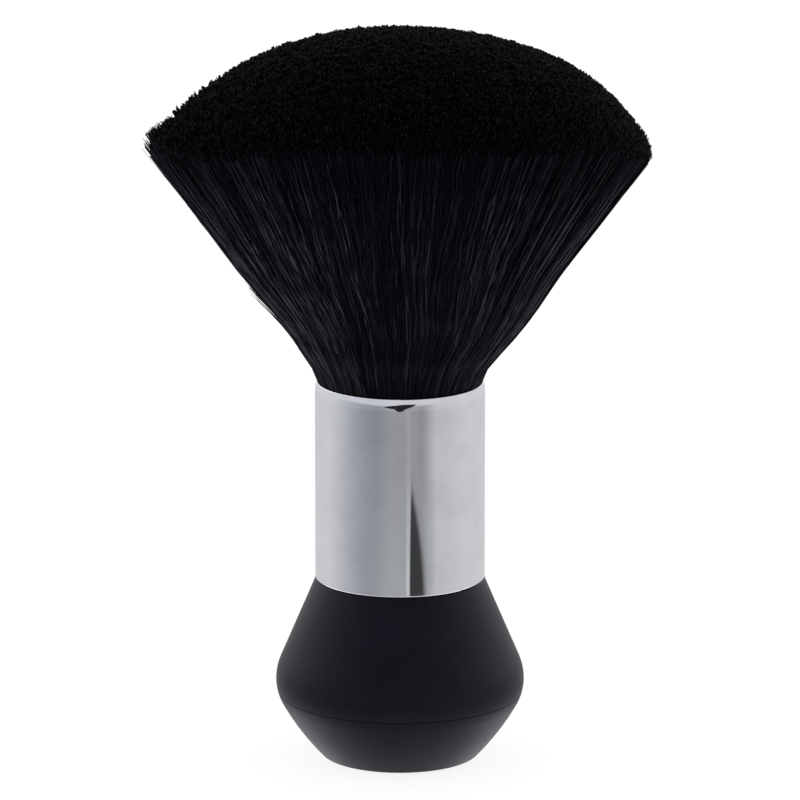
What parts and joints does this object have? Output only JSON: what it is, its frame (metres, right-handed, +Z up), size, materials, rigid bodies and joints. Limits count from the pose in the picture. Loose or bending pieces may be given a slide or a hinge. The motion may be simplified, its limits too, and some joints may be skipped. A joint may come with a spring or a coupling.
{
  "type": "neck duster brush",
  "caption": "Free-standing barber's neck duster: domed fan of soft black bristles in a bright plated ferrule on a weighted, bulb-shaped soft-touch handle with a flat foot.",
  "frame": {"origin": "centre of the flat face the brush stands on", "axes": "+Z up along the handle to the hair tips; +X across the wide side of the tuft; Y across its flatter side"},
  "size_m": [0.1124, 0.093, 0.1653],
  "materials": {
    "handle_soft_touch": "satin",
    "ferrule_chrome": "polished",
    "bristle_black": "satin",
    "pad_rubber": "matte",
    "weight_steel": "satin",
    "fastener_steel": "satin",
    "inner_plastic": "matte",
    "knot_resin": "gloss",
    "binding_wire": "satin"
  },
  "bodies": {
    "root": {"base_pad": "pad_rubber", "base_shell": "handle_soft_touch", "base_weight": "weight_steel", "screw_washer": "fastener_steel", "tie_screw": "fastener_steel", "handle_body": "handle_soft_touch", "ferrule": "ferrule_chrome", "knot_seat_disc": "inner_plastic", "knot_resin": "knot_resin", "knot_binding": "binding_wire", "flare_core": "inner_plastic", "bristle_tuft": "bristle_black"}
  },
  "joints": []
}
